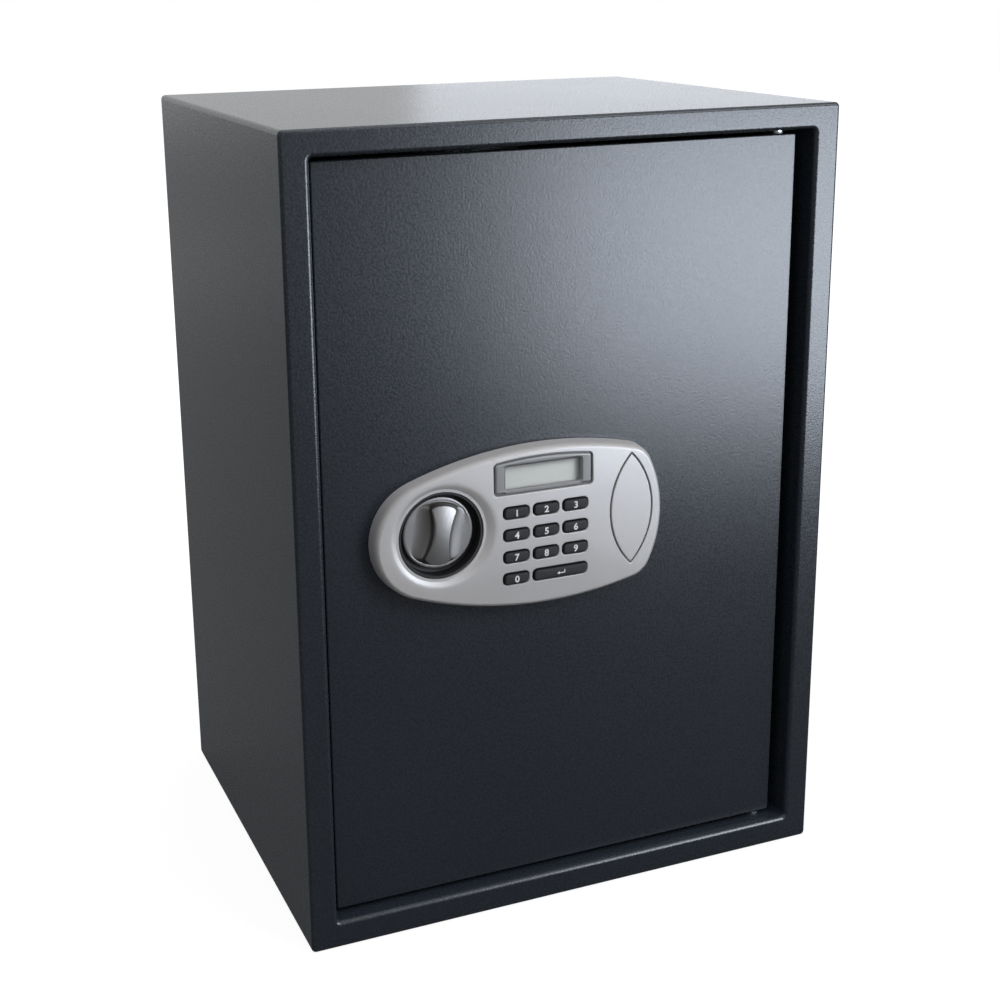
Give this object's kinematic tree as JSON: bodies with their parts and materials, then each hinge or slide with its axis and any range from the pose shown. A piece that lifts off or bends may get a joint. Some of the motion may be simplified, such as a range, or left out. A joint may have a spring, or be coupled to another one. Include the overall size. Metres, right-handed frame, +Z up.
{
  "type": "electronic safe",
  "caption": "Upright steel safe with a recessed hinged door, knob-driven bolts and an oval panel with display, keypad and covered override lock.",
  "frame": {"origin": "under the middle of the cabinet, on the surface that it stands on", "axes": "+X to the right as the door is faced, +Y to the back, +Z up; the door faces -Y"},
  "size_m": [0.356, 0.292, 0.5],
  "materials": {
    "powder_coat": "fine textured powder coat, satin",
    "zinc_steel": "zinc plated",
    "bright_steel": "turned and ground",
    "spring_steel": "drawn wire",
    "silver_plastic": "satin silver lacquer",
    "knob_silver": "satin silver lacquer",
    "bezel_grey": "satin grey",
    "black_plastic": "moulded, satin",
    "key_rubber": "matte black silicone with white digits",
    "clear_pane": "clear",
    "lcd": "pale grey-green display without backlight",
    "circuit_board": "green solder mask",
    "copper_coil": "enamelled wire",
    "brass": "turned",
    "battery_sleeve": "printed sleeve without words",
    "lead_rubber": "black insulation",
    "felt": "felt",
    "reset_red": "moulded"
  },
  "bodies": {
    "cabinet": {"cabinet_wrap": "powder_coat", "back_panel": "powder_coat", "bolt_keeper": "zinc_steel", "hinge_bracket_upper": "powder_coat", "hinge_bracket_lower": "powder_coat", "hinge_pin_upper": "bright_steel", "hinge_pin_lower": "bright_steel", "shelf_rail_left": "powder_coat", "shelf_rail_right": "powder_coat", "floor_mat": "felt"},
    "shelf": {"shelf": "powder_coat"},
    "door": {"door_plate": "powder_coat", "door_channel": "powder_coat", "inner_cover": "powder_coat", "pivot_block_upper": "zinc_steel", "pivot_block_lower": "zinc_steel", "carriage_guide": "zinc_steel", "solenoid_frame": "zinc_steel", "solenoid_coil": "copper_coil", "plunger_spring": "spring_steel", "override_lock_body": "zinc_steel", "battery_holder": "black_plastic", "battery_cell_1": "battery_sleeve", "battery_cell_2": "battery_sleeve", "battery_cell_3": "battery_sleeve", "battery_cell_4": "battery_sleeve", "battery_lead": "lead_rubber", "control_board": "circuit_board", "lcd_module": "lcd", "display_bezel": "bezel_grey", "display_window": "clear_pane", "keypad_mat": "key_rubber", "knob_cup": "black_plastic", "panel_housing": "silver_plastic", "panel_screw_1": "zinc_steel", "panel_screw_2": "zinc_steel", "panel_screw_3": "zinc_steel", "reset_switch": "black_plastic"},
    "battery_cover": {"battery_cover": "black_plastic"},
    "reset_button": {"reset_button": "reset_red"},
    "bolts": {"bolt_carriage": "zinc_steel", "bolt_lower": "bright_steel", "bolt_upper": "bright_steel"},
    "plunger": {"solenoid_plunger": "bright_steel"},
    "knob": {"knob": "knob_silver", "knob_spindle": "zinc_steel"},
    "override": {"override_cylinder": "brass", "override_cam": "zinc_steel"},
    "override_cover": {"override_cover": "silver_plastic"},
    "key_0": {"key_0": "key_rubber"},
    "key_1": {"key_1": "key_rubber"},
    "key_2": {"key_2": "key_rubber"},
    "key_3": {"key_3": "key_rubber"},
    "key_4": {"key_4": "key_rubber"},
    "key_5": {"key_5": "key_rubber"},
    "key_6": {"key_6": "key_rubber"},
    "key_7": {"key_7": "key_rubber"},
    "key_8": {"key_8": "key_rubber"},
    "key_9": {"key_9": "key_rubber"},
    "key_start": {"key_start": "key_rubber"}
  },
  "joints": [
    {"name": "door_hinge", "type": "hinge", "parent": "cabinet", "child": "door", "pos_m": [0.146, -0.124, 0.251], "axis": [0, 0, 1], "range_deg": [0, 95]},
    {"name": "shelf_lift", "type": "slide", "parent": "cabinet", "child": "shelf", "axis": [0, 0, 1], "range_m": [0, 0.02]},
    {"name": "knob_turn", "type": "hinge", "parent": "door", "child": "knob", "pos_m": [-0.0887, -0.142, 0.259], "axis": [0, -1, 0], "range_deg": [0, 90]},
    {"name": "bolt_slide", "type": "slide", "parent": "door", "child": "bolts", "axis": [-1, 0, 0], "range_m": [0, 0.016]},
    {"name": "plunger_pull", "type": "slide", "parent": "door", "child": "plunger", "axis": [0, 0, 1], "range_m": [0, 0.004], "stiffness_N_per_m": 150, "deforming": ["plunger_spring"]},
    {"name": "override_turn", "type": "hinge", "parent": "door", "child": "override", "pos_m": [0.0368, -0.12, 0.259], "axis": [0, 1, 0], "range_deg": [0, 90]},
    {"name": "override_cover_pull", "type": "slide", "parent": "door", "child": "override_cover", "axis": [0, -1, 0], "range_m": [0, 0.02]},
    {"name": "battery_cover_pull", "type": "slide", "parent": "door", "child": "battery_cover", "axis": [0, 1, 0], "range_m": [0, 0.015]},
    {"name": "reset_press", "type": "slide", "parent": "door", "child": "reset_button", "axis": [0, -1, 0], "range_m": [0, 0.0015], "stiffness_N_per_m": 400},
    {"name": "key_0_press", "type": "slide", "parent": "door", "child": "key_0", "axis": [0, 1, 0], "range_m": [0, 0.0012], "stiffness_N_per_m": 400},
    {"name": "key_1_press", "type": "slide", "parent": "door", "child": "key_1", "axis": [0, 1, 0], "range_m": [0, 0.0012], "stiffness_N_per_m": 400},
    {"name": "key_2_press", "type": "slide", "parent": "door", "child": "key_2", "axis": [0, 1, 0], "range_m": [0, 0.0012], "stiffness_N_per_m": 400},
    {"name": "key_3_press", "type": "slide", "parent": "door", "child": "key_3", "axis": [0, 1, 0], "range_m": [0, 0.0012], "stiffness_N_per_m": 400},
    {"name": "key_4_press", "type": "slide", "parent": "door", "child": "key_4", "axis": [0, 1, 0], "range_m": [0, 0.0012], "stiffness_N_per_m": 400},
    {"name": "key_5_press", "type": "slide", "parent": "door", "child": "key_5", "axis": [0, 1, 0], "range_m": [0, 0.0012], "stiffness_N_per_m": 400},
    {"name": "key_6_press", "type": "slide", "parent": "door", "child": "key_6", "axis": [0, 1, 0], "range_m": [0, 0.0012], "stiffness_N_per_m": 400},
    {"name": "key_7_press", "type": "slide", "parent": "door", "child": "key_7", "axis": [0, 1, 0], "range_m": [0, 0.0012], "stiffness_N_per_m": 400},
    {"name": "key_8_press", "type": "slide", "parent": "door", "child": "key_8", "axis": [0, 1, 0], "range_m": [0, 0.0012], "stiffness_N_per_m": 400},
    {"name": "key_9_press", "type": "slide", "parent": "door", "child": "key_9", "axis": [0, 1, 0], "range_m": [0, 0.0012], "stiffness_N_per_m": 400},
    {"name": "key_start_press", "type": "slide", "parent": "door", "child": "key_start", "axis": [0, 1, 0], "range_m": [0, 0.0012], "stiffness_N_per_m": 400}
  ],
  "couplings": [
    {"joint": "knob_turn", "follows": "bolt_slide", "rad_per_m": 98.175}
  ]
}
